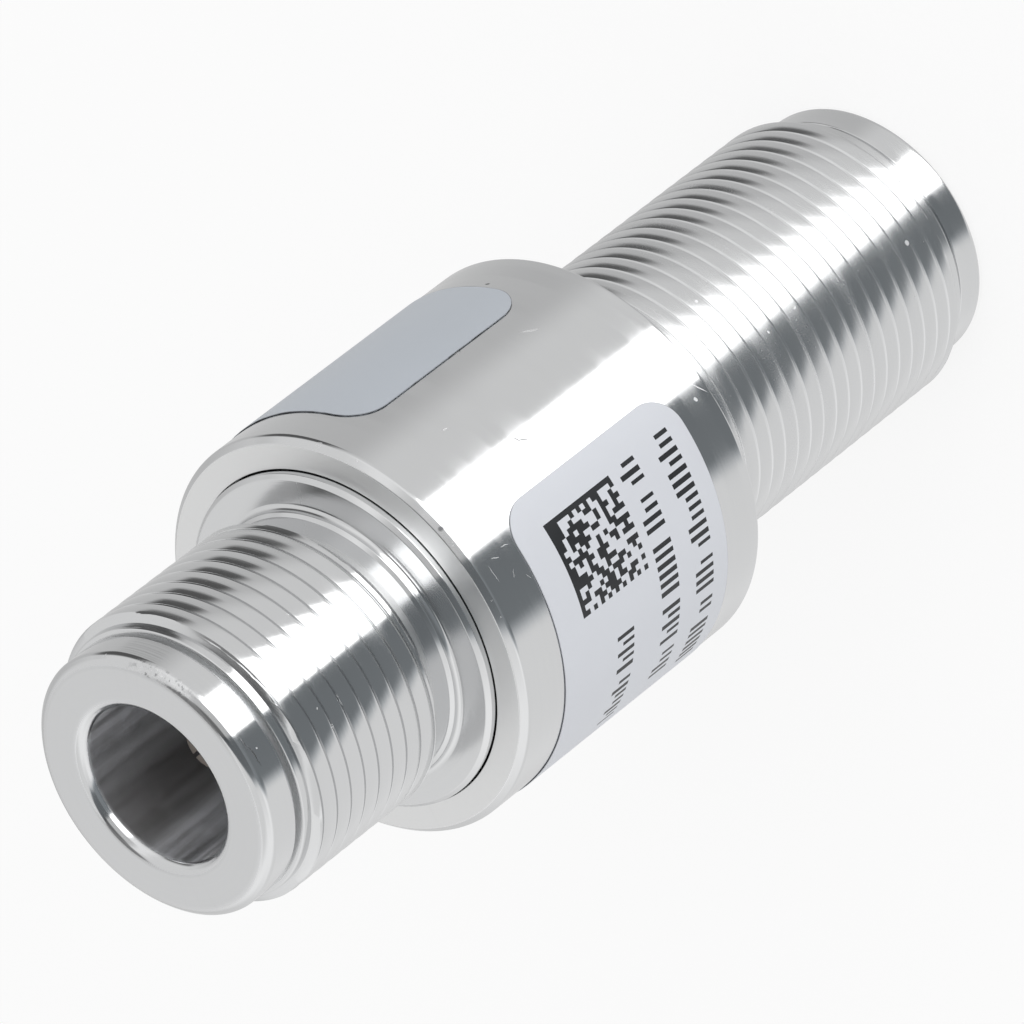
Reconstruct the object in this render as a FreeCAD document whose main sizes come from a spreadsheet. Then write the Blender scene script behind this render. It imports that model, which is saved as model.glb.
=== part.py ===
"""Coaxial lightning arrestor: an in-line gas-tube arrestor with a socket at each end.

Millimetres. The common axis is +Z, the near port points up and the part stands on the
end face of the far port, whose centre is the origin. The gas tube lies across the body,
along +X, from a flat on the centre rod out to a plug in the body's side.
"""
import FreeCAD
import Part
import math
import os
import Sketcher

SIZES = {
    # over-all layout along the axis
    "overall_length": 57.45,
    "near_port_reach": 14.78,
    "far_port_reach": 23.75,
    "body_radius": 11.0,
    "body_edge": 0.35,
    # the port's outside, the same at both ends: 5/8 inch thread, 24 turns to the inch
    "thread_radius": 7.9375,
    "collar_radius": 7.2,
    "collar_length": 2.0,
    "end_chamfer": 0.43,
    # the socket: a straight entry, then a slow taper down to the reference shoulder
    "entry_radius": 4.265,
    "entry_depth": 4.0,
    "entry_countersink": 0.42,
    "socket_radius": 4.065,
    "socket_depth": 9.1,
    "shoulder_length": 0.9,
    # coaxial line inside: outer conductor and centre conductor
    "line_radius": 3.5,
    "seat_radius": 4.5,
    "conductor_radius": 1.52,
    # near port's relief, flange and spigot, as depths below the near end face
    "near_thread_end": 12.2,
    "thread_runout": 0.3,
    "relief_radius": 7.25,
    "relief_end": 13.7,
    "land_radius": 7.42,
    "flange_depth": 14.25,
    "flange_fillet": 0.3,
    "flange_radius": 9.2,
    "rim_chamfer": 0.22,
    "flange_thickness": 2.35,
    "spigot_radius": 8.0,
    "spigot_length": 2.8,
    "ring_gap": 0.08,
    "spigot_end_gap": 0.2,
    # beads, sleeves and the small play of a part in its seat
    "bead_length": 3.0,
    "bead_chamfer": 0.25,
    "sleeve_chamfer": 0.2,
    "fit_play": 0.02,
    # O-rings: section of the small ones and of the one round the spigot
    "bead_seal_section": 0.7,
    "port_seal_section": 0.8,
    "plug_seal_section": 0.7,
    "groove_side_play": 0.1,
    # centre contacts and the studs that join them to the rod
    "contact_depth": 4.2,
    "contact_bore_radius": 0.83,
    "contact_bore_depth": 5.0,
    "contact_tip_chamfer": 0.2,
    "slot_width": 0.22,
    "slot_length": 3.4,
    "slot_count": 4,
    "neck_radius": 1.0,
    "stud_radius": 0.7,
    "stud_length": 3.4,
    "stud_end_gap": 0.3,
    # gas tube and what carries it: from its seat on the rod out to the plug under the side
    "tube_seat": 1.2,
    "tube_radius": 4.0,
    "cap_thickness": 0.5,
    "ceramic_wall": 0.9,
    "electrode_radius": 1.7,
    "spark_gap": 1.2,
    "electrode_chamfer": 0.3,
    "seat_margin": 0.3,
    "liner_wall": 0.4,
    "liner_start": 2.4,
    "liner_play": 0.05,
    "chamber_radius": 4.9,
    "chamber_margin": 0.5,
    "spring_height": 0.8,
    "spring_thickness": 0.35,
    "spring_hole_radius": 1.5,
    "spring_radius": 3.8,
    "plug_ledge": 0.45,
    "plug_thickness": 1.75,
    "plug_recess": 0.1,
    "plug_wall": 0.4,
    "plug_chamfer": 0.25,
    "driver_slot_width": 1.1,
    "driver_slot_depth": 0.7,
    # labels: stiff film wrapped on the body, a little below and above its middle
    "label_height": 12.9,
    "label_length": 20.0,
    "label_corner": 1.9,
    "label_thickness": 0.1,
    "data_label_drop": 0.11,
    "upper_label_lift": 0.39,
    # where the middle of each label points, in degrees round from +X
    "data_label_angle": 219.1,
    "upper_label_angle": 5.9,
}

doc = FreeCAD.newDocument("CoaxArrestor")
sheet = doc.addObject("Spreadsheet::Sheet", "sizes")
for row, (alias, value) in enumerate(SIZES.items(), start=1):
    sheet.set("A%d" % row, alias)
    sheet.set("B%d" % row, str(value))
    sheet.setAlias("B%d" % row, alias)
doc.recompute()

ON_AXIS = "0"
DEGREES_PER_RADIAN = math.degrees(1.0)


def size(text):
    """An expression on the sheet: every alias in the text becomes a cell of it."""
    words = text.replace("(", " ( ").replace(")", " ) ").split()
    return "(" + " ".join("sizes." + word if word in SIZES else word for word in words) + ")"


def measure(expression):
    """The value that an expression has now."""
    return 0.0 if expression == ON_AXIS else float(sheet.evalExpression(expression))


def far(depth):
    """The height of a place that lies that deep in the far port, from its end face."""
    return ON_AXIS if depth == "0" else size(depth)


def near(depth):
    """The height of a place that lies that deep in the near port, from its end face."""
    return size("overall_length - ( %s )" % depth)


# Depths that both ports share, from the end face inwards.
BEAD_SEAT = "socket_depth + shoulder_length"
BEAD_END = BEAD_SEAT + " + bead_length"
STUD_END = BEAD_END + " + stud_length"

# Depths of the near port's flange and spigot.
FLANGE_SEAT = "flange_depth + flange_thickness"
SPIGOT_END = FLANGE_SEAT + " + spigot_length"

# Heights in the body.
BODY_FACE = near("near_port_reach")
SHOULDER = far("far_port_reach")
TUBE_HOLE_RADIUS = "tube_radius + liner_play + liner_wall"
PLUG_RADIUS = TUBE_HOLE_RADIUS + " + plug_ledge"
TUBE_PLACE = SPIGOT_END + " + spigot_end_gap + plug_wall + " + PLUG_RADIUS
TUBE_HEIGHT = near(TUBE_PLACE)
CHAMBER_FLOOR = near(TUBE_PLACE + " + tube_radius + chamber_margin")
LABEL_MIDDLE = "( overall_length - near_port_reach + far_port_reach - label_height ) / 2"

# Radii of what runs in a seat, and of the hole for the lined gas tube.
SEAT_FIT = size("seat_radius - fit_play")
SPIGOT_FIT = size("spigot_radius - fit_play")
TUBE_HOLE = size(TUBE_HOLE_RADIUS)

# Places along the gas tube, as distances out from the common axis. The plug's rim stays
# under the body's side, and the ceramic ring takes what is left between the caps.
PLUG_TOP = "( body_radius ^ 2 - ( %s ) ^ 2 ) ^ 0.5 - plug_recess" % PLUG_RADIUS
PLUG_SEAT = PLUG_TOP + " - plug_thickness"
TUBE_END = PLUG_SEAT + " - spring_height"
CERAMIC_END = TUBE_END + " - cap_thickness"
INNER_CAP_END = "tube_seat + cap_thickness"
GAP_MIDDLE = "( %s + %s ) / 2" % (INNER_CAP_END, CERAMIC_END)


def origin_plane(body, role):
    """One of the planes that a body starts from."""
    return next(item for item in body.Origin.OriginFeatures if item.Role == role)


def add_sketch(body, label, role="XZ_Plane"):
    """A sketch on one of the body's own origin planes."""
    sketch = body.newObject("Sketcher::SketchObject", label)
    sketch.AttachmentSupport = [(origin_plane(body, role), "")]
    sketch.MapMode = "FlatFace"
    return sketch


def tie(sketch, constraint, name, expression):
    """Adds a constraint under a name and binds its value to the sheet."""
    sketch.renameConstraint(sketch.addConstraint(constraint), name)
    sketch.setExpression("Constraints." + name, expression)


def tie_corner(sketch, line, end, name, point):
    """Ties one end of a line to a pair of expressions, or to an axis of the sketch."""
    vertical_axis, horizontal_axis = -2, -1
    for kind, expression, axis in zip(("DistanceX", "DistanceY"), point,
                                      (vertical_axis, horizontal_axis)):
        if expression == ON_AXIS:
            sketch.addConstraint(Sketcher.Constraint("PointOnObject", line, end, axis))
        else:
            constraint = Sketcher.Constraint(kind, -1, 1, line, end, measure(expression))
            tie(sketch, constraint, "%s_%s" % (name, kind[-1].lower()), expression)


def join(sketch, first, first_end, second, second_end):
    """Makes an end of one edge meet an end of another."""
    sketch.addConstraint(Sketcher.Constraint("Coincident", first, first_end, second, second_end))


def add_lines(sketch, points, name="corner", closed=True):
    """Joined lines through corners that are pairs of expressions in the sketch's x and y."""
    places = [FreeCAD.Vector(measure(x), measure(y), 0) for x, y in points]
    first = sketch.GeometryCount
    count = len(points) if closed else len(points) - 1
    for index in range(count):
        end = places[(index + 1) % len(places)]
        sketch.addGeometry(Part.LineSegment(places[index], end), False)
        tie_corner(sketch, first + index, 1, "%s_%d" % (name, index), points[index])
    for index in range(1, count):
        join(sketch, first + index - 1, 2, first + index, 1)
    if closed:
        join(sketch, first + count - 1, 2, first, 1)
    else:
        tie_corner(sketch, first + count - 1, 2, "%s_%d" % (name, count), points[-1])
    return first


def turned(label, outline, along_x=False, angle=None):
    """A turned piece: its outline is (radius, place along the axis) pairs, in order.

    With an angle it is only that sector, half of it to each side of the XZ plane.
    """
    body = doc.addObject("PartDesign::Body", label)
    sketch = add_sketch(body, label + "_outline")
    add_lines(sketch, [corner[::-1] for corner in outline] if along_x else outline)
    turn = body.newObject("PartDesign::Revolution", label + "_turn")
    turn.Profile = sketch
    turn.ReferenceAxis = (sketch, ["H_Axis" if along_x else "V_Axis"])
    turn.Angle = 360.0
    if angle:
        turn.Midplane = True
        turn.setExpression("Angle", angle)
    doc.recompute()
    return body


def cut(body, label, sketch, length, both_ways=True):
    """A pocket through the body, which must take something away."""
    before = body.Shape.Volume
    pocket = body.newObject("PartDesign::Pocket", label)
    pocket.Profile = sketch
    pocket.Midplane = both_ways
    pocket.Reversed = not both_ways
    pocket.setExpression("Length", length)
    doc.recompute()
    if not body.Shape.Volume < before:
        raise RuntimeError(label + " cut nothing")
    return pocket


def repeat(body, label, feature, axis, count):
    """Copies a cut round an axis of its own sketch."""
    pattern = body.newObject("PartDesign::PolarPattern", label)
    pattern.Originals = [feature]
    pattern.Axis = (feature.Profile[0], [axis])
    pattern.Angle = 360.0
    pattern.setExpression("Occurrences", count)
    body.Tip = pattern
    doc.recompute()


def mirror(body, label, feature, role):
    """Copies a cut to the other side of one of the body's origin planes."""
    mirrored = body.newObject("PartDesign::Mirrored", label)
    mirrored.Originals = [feature]
    mirrored.MirrorPlane = (origin_plane(body, role), [""])
    body.Tip = mirrored
    doc.recompute()


def stand_at_tube(body):
    """Moves a piece made round the X axis to the gas tube's height."""
    body.setExpression("Placement.Base.z", TUBE_HEIGHT)


def port_outside(at):
    """Outline of a port from its socket's mouth out to the start of the thread."""
    return [
        (size("entry_radius + entry_countersink"), at("0")),
        (size("collar_radius - end_chamfer"), at("0")),
        (size("collar_radius"), at("end_chamfer")),
        (size("collar_radius"), at("collar_length")),
        (size("thread_radius"), at("collar_length + thread_radius - collar_radius")),
    ]


def socket_inside(at):
    """Outline of a port's inside from the bead's seat back to the mouth."""
    return [
        (size("seat_radius"), at(BEAD_SEAT)),
        (size("line_radius"), at(BEAD_SEAT)),
        (size("line_radius"), at("socket_depth")),
        (size("socket_radius"), at("socket_depth")),
        (size("entry_radius"), at("entry_depth")),
        (size("entry_radius"), at("entry_countersink")),
    ]


def cut_cross_hole(body, label, radius, start=None):
    """A round hole along +X at the gas tube's height, out to the open."""
    sketch = add_sketch(body, label + "_circle", "YZ_Plane")
    if start:
        sketch.setExpression("AttachmentOffset.Base.z", size(start))
    centre = FreeCAD.Vector(0, measure(TUBE_HEIGHT), 0)
    sketch.addGeometry(Part.Circle(centre, FreeCAD.Vector(0, 0, 1), measure(radius)), False)
    sketch.addConstraint(Sketcher.Constraint("PointOnObject", 0, 3, -2))
    rise = Sketcher.Constraint("DistanceY", -1, 1, 0, 3, measure(TUBE_HEIGHT))
    tie(sketch, rise, "height", TUBE_HEIGHT)
    tie(sketch, Sketcher.Constraint("Radius", 0, measure(radius)), "bore", radius)
    cut(body, label, sketch, size("body_radius"), both_ways=False)


def make_body():
    """The turned shell with the far port, the near port's seat and the cross hole."""
    body = turned("body", port_outside(far) + [
        (size("thread_radius"), SHOULDER),
        (size("body_radius - body_edge"), SHOULDER),
        (size("body_radius"), far("far_port_reach + body_edge")),
        (size("body_radius"), near("near_port_reach + body_edge")),
        (size("body_radius - body_edge"), BODY_FACE),
        (size("flange_radius + ring_gap"), BODY_FACE),
        (size("flange_radius + ring_gap"), near(FLANGE_SEAT)),
        (size("spigot_radius"), near(FLANGE_SEAT)),
        (size("spigot_radius"), near(SPIGOT_END + " + spigot_end_gap")),
        (size("chamber_radius"), near(SPIGOT_END + " + spigot_end_gap")),
        (size("chamber_radius"), CHAMBER_FLOOR),
        (size("seat_radius"), CHAMBER_FLOOR),
    ] + socket_inside(far))
    cut_cross_hole(body, "tube_hole", TUBE_HOLE)
    cut_cross_hole(body, "plug_hole", size(PLUG_RADIUS), PLUG_SEAT)


def make_near_port():
    """The threaded insert: collar, thread, relief, flange and the spigot in the body."""
    groove_middle = FLANGE_SEAT + " + spigot_length / 2"
    groove_half = "port_seal_section / 2 + groove_side_play"
    groove_start = near("%s - ( %s )" % (groove_middle, groove_half))
    groove_end = near("%s + ( %s )" % (groove_middle, groove_half))
    groove_floor = size("spigot_radius - port_seal_section")
    port = turned("near_port", port_outside(near) + [
        (size("thread_radius"), near("near_thread_end")),
        (size("relief_radius"), near("near_thread_end + thread_runout")),
        (size("relief_radius"), near("relief_end")),
        (size("land_radius"), near("relief_end + land_radius - relief_radius")),
        (size("land_radius"), near("flange_depth")),
        (size("flange_radius - rim_chamfer"), near("flange_depth")),
        (size("flange_radius"), near("flange_depth + rim_chamfer")),
        (size("flange_radius"), near(FLANGE_SEAT)),
        (SPIGOT_FIT, near(FLANGE_SEAT)),
        (SPIGOT_FIT, groove_start),
        (groove_floor, groove_start),
        (groove_floor, groove_end),
        (SPIGOT_FIT, groove_end),
        (SPIGOT_FIT, near(SPIGOT_END)),
        (size("seat_radius"), near(SPIGOT_END)),
    ] + socket_inside(near))
    land_radius = measure(size("land_radius"))
    flange_face = measure(near("flange_depth"))
    corner = ["Edge%d" % index for index, edge in enumerate(port.Shape.Edges, start=1)
              if isinstance(edge.Curve, Part.Circle)
              and math.isclose(edge.Curve.Radius, land_radius, abs_tol=1e-5)
              and math.isclose(edge.Curve.Center.z, flange_face, abs_tol=1e-5)]
    root = port.newObject("PartDesign::Fillet", "flange_root")
    root.Base = (port.Group[-2], corner)
    root.setExpression("Radius", size("flange_fillet"))
    doc.recompute()


def make_ring(label, groove_radius, section, middle, along_x=False):
    """An O-ring whose section fills its groove, less the play at its back."""
    ring = doc.addObject("Part::Torus", label)
    ring.setExpression("Radius1", size("%s - %s / 2" % (groove_radius, section)))
    ring.setExpression("Radius2", size("%s / 2 - fit_play" % section))
    if along_x:
        ring.Placement.Rotation = FreeCAD.Rotation(FreeCAD.Vector(0, 1, 0), 90)
        ring.setExpression("Placement.Base.x", size(middle))
        ring.setExpression("Placement.Base.z", TUBE_HEIGHT)
    else:
        ring.setExpression("Placement.Base.z", middle)


def make_bead(label, at):
    """The insulating bead that carries a contact, with a groove for its O-ring."""
    middle = BEAD_SEAT + " + bead_length / 2"
    groove_half = "bead_seal_section / 2 + groove_side_play"
    groove_start = at("%s - ( %s )" % (middle, groove_half))
    groove_end = at("%s + ( %s )" % (middle, groove_half))
    groove_floor = size("seat_radius - bead_seal_section")
    turned(label, [
        (size("neck_radius + fit_play"), at(BEAD_SEAT)),
        (size("seat_radius - fit_play - bead_chamfer"), at(BEAD_SEAT)),
        (SEAT_FIT, at(BEAD_SEAT + " + bead_chamfer")),
        (SEAT_FIT, groove_start),
        (groove_floor, groove_start),
        (groove_floor, groove_end),
        (SEAT_FIT, groove_end),
        (SEAT_FIT, at(BEAD_END)),
        (size("neck_radius + fit_play"), at(BEAD_END)),
    ])
    make_ring(label + "_seal", "seat_radius", "bead_seal_section", at(middle))


def make_sleeve(label, at, end):
    """The tube of outer conductor that holds a bead down in its seat."""
    turned(label, [
        (size("line_radius"), at(BEAD_END)),
        (size("seat_radius - fit_play - sleeve_chamfer"), at(BEAD_END)),
        (SEAT_FIT, at(BEAD_END + " + sleeve_chamfer")),
        (SEAT_FIT, end),
        (size("line_radius"), end),
    ])


def make_contact(label, at):
    """A slotted socket contact: tip, bore, neck through the bead and stud for the rod."""
    contact = turned(label, [
        (size("contact_bore_radius"), at("contact_depth")),
        (size("conductor_radius - contact_tip_chamfer"), at("contact_depth")),
        (size("conductor_radius"), at("contact_depth + contact_tip_chamfer")),
        (size("conductor_radius"), at(BEAD_SEAT)),
        (size("neck_radius"), at(BEAD_SEAT)),
        (size("neck_radius"), at(BEAD_END)),
        (size("stud_radius"), at(BEAD_END)),
        (size("stud_radius"), at(STUD_END)),
        (ON_AXIS, at(STUD_END)),
        (ON_AXIS, at("contact_depth + contact_bore_depth")),
        (size("contact_bore_radius"), at("contact_depth + contact_bore_depth")),
    ])
    sketch = add_sketch(contact, label + "_slot_side")
    over_tip = at("contact_depth - contact_tip_chamfer")
    slot_end = at("contact_depth + slot_length")
    outside = size("conductor_radius + contact_tip_chamfer")
    add_lines(sketch, [(ON_AXIS, over_tip), (outside, over_tip),
                            (outside, slot_end), (ON_AXIS, slot_end)])
    slot = cut(contact, label + "_slot", sketch, size("slot_width"))
    repeat(contact, label + "_slots", slot, "V_Axis", size("slot_count"))


def make_centre_rod():
    """The rod between the contacts, bored for their studs, with a flat for the tube."""
    bore = size("stud_radius + fit_play")
    bore_end = STUD_END + " + stud_end_gap"
    rod = turned("centre_rod", [
        (bore, near(BEAD_END)),
        (size("conductor_radius"), near(BEAD_END)),
        (size("conductor_radius"), far(BEAD_END)),
        (bore, far(BEAD_END)),
        (bore, far(bore_end)),
        (ON_AXIS, far(bore_end)),
        (ON_AXIS, near(bore_end)),
        (bore, near(bore_end)),
    ])
    sketch = add_sketch(rod, "rod_flat_side")
    low = near(TUBE_PLACE + " + tube_radius + seat_margin")
    high = near(TUBE_PLACE + " - tube_radius - seat_margin")
    outside = size("conductor_radius + seat_margin")
    seat = size("tube_seat")
    add_lines(sketch, [(seat, low), (outside, low), (outside, high), (seat, high)])
    cut(rod, "rod_flat", sketch, size("2 * ( conductor_radius + seat_margin )"))


def make_cap(label, outside, inside, tip, bevel):
    """One end cap of the gas tube, with the electrode that points into it."""
    cap = turned(label, [
        (ON_AXIS, size(outside)),
        (size("tube_radius"), size(outside)),
        (size("tube_radius"), size(inside)),
        (size("electrode_radius"), size(inside)),
        (size("electrode_radius"), size("%s %s electrode_chamfer" % (tip, bevel))),
        (size("electrode_radius - electrode_chamfer"), size(tip)),
        (ON_AXIS, size(tip)),
    ], along_x=True)
    stand_at_tube(cap)


def make_gas_tube():
    """Ceramic ring with a metal cap at each end, the inner one on the rod's flat."""
    make_cap("tube_inner_cap", "tube_seat", INNER_CAP_END, GAP_MIDDLE + " - spark_gap / 2", "-")
    make_cap("tube_outer_cap", TUBE_END, CERAMIC_END, GAP_MIDDLE + " + spark_gap / 2", "+")
    stand_at_tube(turned("tube_ceramic", [
        (size("tube_radius - ceramic_wall"), size(INNER_CAP_END)),
        (size("tube_radius"), size(INNER_CAP_END)),
        (size("tube_radius"), size(CERAMIC_END)),
        (size("tube_radius - ceramic_wall"), size(CERAMIC_END)),
    ], along_x=True))


def make_tube_collar():
    """The insulating liner that centres the tube in its hole."""
    inner = size("tube_radius + liner_play")
    outer = size("tube_radius + liner_play + liner_wall - fit_play")
    stand_at_tube(turned("tube_collar", [
        (inner, size("liner_start")),
        (outer, size("liner_start")),
        (outer, size(TUBE_END)),
        (inner, size(TUBE_END)),
    ], along_x=True))


def make_tube_spring():
    """A disc spring: its hole's rim bears on the tube, its outer rim on the plug."""
    stand_at_tube(turned("tube_spring", [
        (size("spring_hole_radius"), size(TUBE_END)),
        (size("spring_radius"), size(PLUG_SEAT + " - spring_thickness")),
        (size("spring_radius"), size(PLUG_SEAT)),
        (size("spring_hole_radius"), size(TUBE_END + " + spring_thickness")),
    ], along_x=True))


def make_tube_plug():
    """The screw plug over the tube, with a nose inside its seal and a driver slot."""
    nose = size(PLUG_RADIUS + " - plug_seal_section")
    head = size(PLUG_RADIUS + " - fit_play")
    head_start = size(PLUG_SEAT + " + plug_seal_section")
    plug = turned("tube_plug", [
        (ON_AXIS, size(PLUG_SEAT)),
        (nose, size(PLUG_SEAT)),
        (nose, head_start),
        (head, head_start),
        (head, size(PLUG_TOP + " - plug_chamfer")),
        (size(PLUG_RADIUS + " - fit_play - plug_chamfer"), size(PLUG_TOP)),
        (ON_AXIS, size(PLUG_TOP)),
    ], along_x=True)
    sketch = add_sketch(plug, "driver_slot_side", "XY_Plane")
    floor = size(PLUG_TOP + " - driver_slot_depth")
    above = size(PLUG_TOP + " + driver_slot_depth")
    outside = size(PLUG_RADIUS + " + driver_slot_depth")
    add_lines(sketch, [(floor, ON_AXIS), (above, ON_AXIS), (above, outside), (floor, outside)])
    half_slot = cut(plug, "driver_half_slot", sketch, size("driver_slot_width"))
    repeat(plug, "driver_slot", half_slot, "H_Axis", "2")
    stand_at_tube(plug)
    make_ring("plug_seal", PLUG_RADIUS, "plug_seal_section",
              PLUG_SEAT + " + plug_seal_section / 2", along_x=True)


def add_corner_waste(sketch, name, edge, inward, arc_angles):
    """What is trimmed off one corner of a label, whose lower or upper edge is given."""
    outward = "-" if inward == "+" else "+"
    inside = size("%s %s label_corner" % (edge, inward))
    outside = size("%s %s label_corner" % (edge, outward))
    beyond = size("-1 * label_corner")
    corner = size("label_corner")
    first = add_lines(sketch, [(ON_AXIS, inside), (beyond, inside), (beyond, outside),
                               (corner, outside), (corner, size(edge))], name, closed=False)
    last = sketch.GeometryCount - 1
    radius = measure(corner)
    circle = Part.Circle(FreeCAD.Vector(radius, measure(inside), 0), FreeCAD.Vector(0, 0, 1), radius)
    arc = sketch.addGeometry(Part.ArcOfCircle(circle, *arc_angles), False)
    side_end, edge_end = (1, 2) if inward == "+" else (2, 1)
    join(sketch, arc, side_end, first, 1)
    join(sketch, arc, edge_end, last, 2)
    tie(sketch, Sketcher.Constraint("Radius", arc, radius), name + "_round", corner)


def make_label(label, base, middle_angle):
    """A film wrapped on the body, with rounded corners."""
    inner = size("body_radius + fit_play")
    outer = size("body_radius + fit_play + label_thickness")
    upper = base + " + label_height"
    half_wrap = "label_length / ( body_radius + fit_play ) / 2 * %r" % DEGREES_PER_RADIAN
    film = turned(label, [(inner, size(base)), (outer, size(base)),
                          (outer, size(upper)), (inner, size(upper))],
                  angle=size("2 * ( %s )" % half_wrap))
    sketch = add_sketch(film, label + "_corner_shapes", "YZ_Plane")
    sketch.AttachmentOffset = FreeCAD.Placement(
        FreeCAD.Vector(), FreeCAD.Rotation(FreeCAD.Vector(0, -1, 0), measure(size(half_wrap))))
    sketch.setExpression("AttachmentOffset.Rotation.Angle", size(half_wrap))
    add_corner_waste(sketch, "lower", base, "+", (math.pi, 1.5 * math.pi))
    add_corner_waste(sketch, "upper", upper, "-", (0.5 * math.pi, math.pi))
    trim = cut(film, label + "_corners", sketch, size("2 * body_radius"), both_ways=False)
    mirror(film, label + "_other_corners", trim, "XZ_Plane")
    film.Placement = FreeCAD.Placement(
        FreeCAD.Vector(), FreeCAD.Rotation(FreeCAD.Vector(0, 0, 1), measure(size(middle_angle))))
    film.setExpression("Placement.Rotation.Angle", size(middle_angle))


def export_pieces():
    """Checks every object of the document, then writes one file for each piece."""
    doc.recompute()
    for item in doc.Objects:
        if "Invalid" in item.State or "Error" in item.State:
            raise RuntimeError("%s did not recompute: %s" % (item.Label, item.State))
    pieces = [item for item in doc.Objects
              if item.isDerivedFrom("PartDesign::Body") or item.TypeId == "Part::Torus"]
    for piece in pieces:
        if piece.Shape.isNull() or not piece.Shape.isValid() or len(piece.Shape.Solids) != 1:
            raise RuntimeError(piece.Label + " is not one valid solid")
    os.makedirs("parts", exist_ok=True)
    for piece in pieces:
        piece.Shape.exportStep("parts/%s.step" % piece.Label)
        box = piece.Shape.BoundBox
        print("%-16s %9.2f mm3   z %6.2f to %6.2f" % (piece.Label, piece.Shape.Volume,
                                                      box.ZMin, box.ZMax))


make_body()
make_near_port()
make_ring("port_seal", "spigot_radius", "port_seal_section",
          near(FLANGE_SEAT + " + spigot_length / 2"))
make_bead("near_bead", near)
make_bead("far_bead", far)
make_sleeve("near_sleeve", near, near(SPIGOT_END))
make_sleeve("far_sleeve", far, CHAMBER_FLOOR)
make_contact("near_contact", near)
make_contact("far_contact", far)
make_centre_rod()
make_gas_tube()
make_tube_collar()
make_tube_spring()
make_tube_plug()
make_label("data_label", LABEL_MIDDLE + " - data_label_drop", "data_label_angle")
make_label("upper_label", LABEL_MIDDLE + " + upper_label_lift", "upper_label_angle")
export_pieces()
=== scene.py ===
"""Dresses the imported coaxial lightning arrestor: cut threads, turned metal, labels, studio.

The part's own numbers are in millimetres, and the scene and its studio are in metres. Heights
are measured up the common axis from the far port's end face, and turns are degrees round it
from +X.
"""
import math

import bmesh
import bpy
from mathutils import Matrix, Vector


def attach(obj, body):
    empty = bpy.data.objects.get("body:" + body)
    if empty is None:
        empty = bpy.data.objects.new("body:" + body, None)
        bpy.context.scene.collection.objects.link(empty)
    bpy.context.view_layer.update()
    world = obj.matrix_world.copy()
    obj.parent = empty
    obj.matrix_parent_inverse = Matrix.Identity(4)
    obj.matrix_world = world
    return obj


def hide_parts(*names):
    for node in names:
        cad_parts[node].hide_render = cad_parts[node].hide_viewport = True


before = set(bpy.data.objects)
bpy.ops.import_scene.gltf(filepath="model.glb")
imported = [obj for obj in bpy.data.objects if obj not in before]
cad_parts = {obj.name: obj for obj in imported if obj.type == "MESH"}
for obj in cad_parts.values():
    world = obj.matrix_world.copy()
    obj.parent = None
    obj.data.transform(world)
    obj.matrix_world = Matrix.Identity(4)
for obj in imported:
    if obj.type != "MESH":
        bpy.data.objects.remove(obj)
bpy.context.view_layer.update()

MM = 0.001
LENGTH = 57.45                   # end face to end face

# The body.
BODY_RADIUS = 10.994             # a hair under the CAD's 11, whose facets fall short of it too
BODY_EDGE = 0.35                 # its edges' chamfers
SHOULDER = 23.75                 # the height of its lower face
BODY_FACE = LENGTH - 14.78       # the height of its upper face
CHAMBER_RADIUS = 4.9             # the room behind the near port

# The threads, and the collar and ridge in front of each. Depths are from the port's own end.
THREAD_RADIUS = 7.9375
PITCH = 25.4 / 24
COLLAR_RADIUS, COLLAR_LENGTH = 7.2, 2.0
END_CHAMFER = 0.43
RIDGE_START = 2.26
THREAD_START = 2.85              # where the first turn stands up from the ridge behind the collar
RIDGE_RADIUS = 7.45

# The sockets: a countersunk entry, a slow taper, the line behind it and the bead's seat.
ENTRY_RADIUS, ENTRY_DEPTH, COUNTERSINK = 4.265, 4.0, 0.42
SOCKET_RADIUS, SOCKET_DEPTH = 4.065, 9.1
LINE_RADIUS = 3.5
BEAD_SEAT, SEAT_RADIUS = 10.0, 4.5

# The near port behind its thread, from its end face: relief, land, flange, spigot and seal.
RELIEF_RADIUS, RELIEF_START, RELIEF_END = 7.25, 12.5, 13.7
LAND_RADIUS, LAND_START = 7.42, 13.87
FLANGE_RADIUS, FLANGE_DEPTH, FLANGE_END = 9.225, 14.25, 16.6
FLANGE_FACE_RADIUS, FLANGE_RIM = 9.0, 0.22
SPIGOT_RADIUS, SPIGOT_END = 8.0, 19.4
SEAL_GROOVE = 7.2                # the radius of its floor
RING_HOLE = 9.28                 # the radius of the body's hole round the flange
FIT_PLAY = 0.02

# The films, flat and as they are wrapped: base heights and middle turns.
FILM_LENGTH, FILM_HEIGHT, FILM_CORNER, FILM_RADIUS = 20.0, 12.9, 1.9, 11.02
FILM_THICKNESS = 0.035
DATA_BASE, DATA_MIDDLE = 26.65, 219.1
UPPER_BASE, UPPER_MIDDLE = 27.15, 5.9

HOLD = 0.012                     # from a rounding to the ring that holds the flat beside it
AROUND = 180                     # facets round every turned piece
ROUND_STEPS = 4                  # facets in a rounding
WELD = 2e-6                      # metres within which points are one
CREASE = math.radians(32.0)      # from this angle on, an edge shows as sharp

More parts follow.
